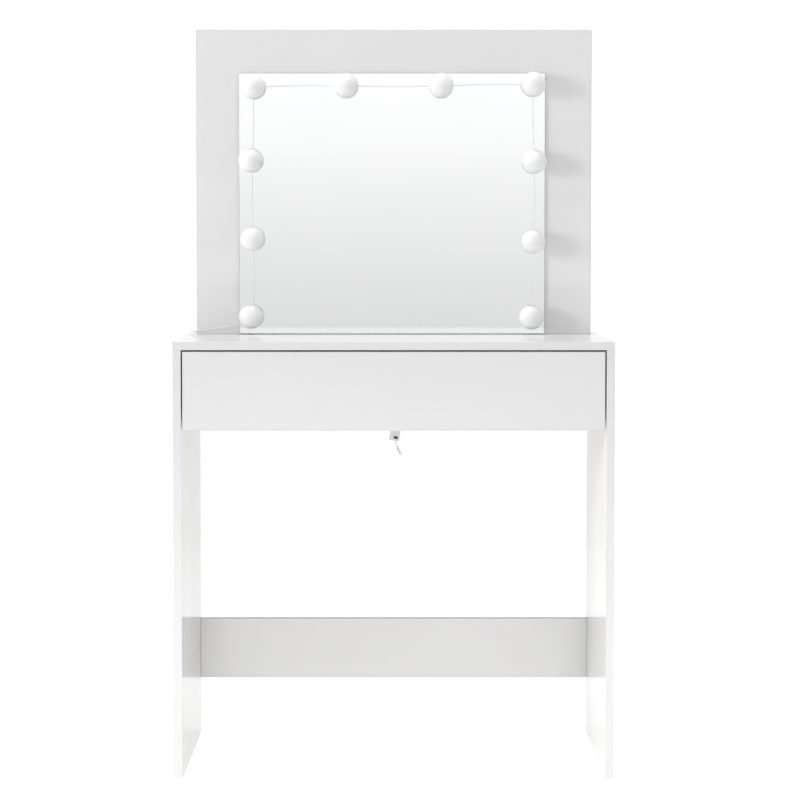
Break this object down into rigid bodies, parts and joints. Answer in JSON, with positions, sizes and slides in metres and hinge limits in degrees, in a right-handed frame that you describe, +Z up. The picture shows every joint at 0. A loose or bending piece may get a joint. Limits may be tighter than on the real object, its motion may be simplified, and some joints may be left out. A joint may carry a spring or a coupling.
{
  "type": "vanity table with mirror",
  "caption": "White panel-board vanity table with one wide drawer on roller slides, a rear board carrying a frameless mirror, and frosted globe lamps wired around the mirror.",
  "frame": {"origin": "on the floor at the middle of the table's footprint", "axes": "+X to the right seen from the front, +Y to the rear, +Z up; the drawer opens along -Y"},
  "size_m": [0.8, 0.4091, 1.392],
  "materials": {
    "white_board": "white gloss melamine on particle board, edge banded",
    "hardboard": "white-lacquered hardboard",
    "dowel_wood": "plain fluted beech",
    "mirror": "silvered glass, polished edge",
    "foam_tape": "double-sided foam tape",
    "frosted_globe": "frosted translucent plastic",
    "white_plastic": "moulded white plastic",
    "white_wire": "white insulated wire",
    "white_steel": "white epoxy coat",
    "steel": "bright zinc plate",
    "cam_zinc": "die-cast zinc",
    "roller_nylon": "nylon",
    "foot_plastic": "nylon",
    "dark_plastic": "matte dark plastic"
  },
  "bodies": {
    "case": {"back_rail": "white_board", "bracket_screws": "steel", "cabinet_rail_screws": "steel", "cabinet_roller_pins": "steel", "case_cam_bolts": "steel", "case_cam_locks": "cam_zinc", "case_dowels": "dowel_wood", "lamp_bases": "white_plastic", "lamp_left_high": "frosted_globe", "lamp_left_low": "frosted_globe", "lamp_left_mid": "frosted_globe", "lamp_pads": "foam_tape", "lamp_right_high": "frosted_globe", "lamp_right_low": "frosted_globe", "lamp_right_mid": "frosted_globe", "lamp_top_1": "frosted_globe", "lamp_top_2": "frosted_globe", "lamp_top_3": "frosted_globe", "lamp_top_4": "frosted_globe", "lamp_wires": "white_wire", "lead_plug": "white_plastic", "lead_tail": "white_wire", "left_angle_bracket": "steel", "left_cabinet_rail": "white_steel", "left_front_glide": "foot_plastic", "left_rear_glide": "foot_plastic", "left_side_panel": "white_board", "lower_rail": "white_board", "mirror_board": "white_board", "mirror_board_screws": "steel", "mirror_glass": "mirror", "mirror_tape": "foam_tape", "right_angle_bracket": "steel", "right_cabinet_rail": "white_steel", "right_front_glide": "foot_plastic", "right_rear_glide": "foot_plastic", "right_side_panel": "white_board", "supply_lead": "white_wire", "switch_box": "white_plastic", "switch_pad": "foam_tape", "table_top": "white_board"},
    "drawer": {"drawer_back": "white_board", "drawer_bottom": "hardboard", "drawer_cam_bolts": "steel", "drawer_cam_locks": "cam_zinc", "drawer_dowels": "dowel_wood", "drawer_front": "white_board", "drawer_left_side": "white_board", "drawer_rail_screws": "steel", "drawer_right_side": "white_board", "drawer_roller_pins": "steel", "drawer_screws": "steel", "left_drawer_rail": "white_steel", "right_drawer_rail": "white_steel"},
    "left_cabinet_roller": {"left_cabinet_roller": "roller_nylon"},
    "left_drawer_roller": {"left_drawer_roller": "roller_nylon"},
    "right_cabinet_roller": {"right_cabinet_roller": "roller_nylon"},
    "right_drawer_roller": {"right_drawer_roller": "roller_nylon"},
    "button": {"switch_button": "dark_plastic"}
  },
  "joints": [
    {"name": "drawer_slide", "type": "slide", "parent": "case", "child": "drawer", "axis": [0, -1, 0], "range_m": [0, 0.26]},
    {"name": "left_cabinet_roller_spin", "type": "hinge", "parent": "case", "child": "left_cabinet_roller", "pos_m": [-0.37925, -0.17, 0.6646], "axis": [1, 0, 0], "range_deg": [0, 1865]},
    {"name": "left_drawer_roller_spin", "type": "hinge", "parent": "drawer", "child": "left_drawer_roller", "pos_m": [-0.37785, 0.153, 0.66405], "axis": [1, 0, 0], "range_deg": [0, 1865]},
    {"name": "right_cabinet_roller_spin", "type": "hinge", "parent": "case", "child": "right_cabinet_roller", "pos_m": [0.37925, -0.17, 0.6646], "axis": [1, 0, 0], "range_deg": [0, 1865]},
    {"name": "right_drawer_roller_spin", "type": "hinge", "parent": "drawer", "child": "right_drawer_roller", "pos_m": [0.37785, 0.153, 0.66405], "axis": [1, 0, 0], "range_deg": [0, 1865]},
    {"name": "button_press", "type": "slide", "parent": "case", "child": "button", "axis": [0, 1, 0], "range_m": [0, 0.001], "stiffness_N_per_m": 500}
  ],
  "couplings": [
    {"joint": "left_cabinet_roller_spin", "follows": "drawer_slide", "rad_per_m": 125},
    {"joint": "left_drawer_roller_spin", "follows": "drawer_slide", "rad_per_m": 125},
    {"joint": "right_cabinet_roller_spin", "follows": "drawer_slide", "rad_per_m": 125},
    {"joint": "right_drawer_roller_spin", "follows": "drawer_slide", "rad_per_m": 125}
  ]
}
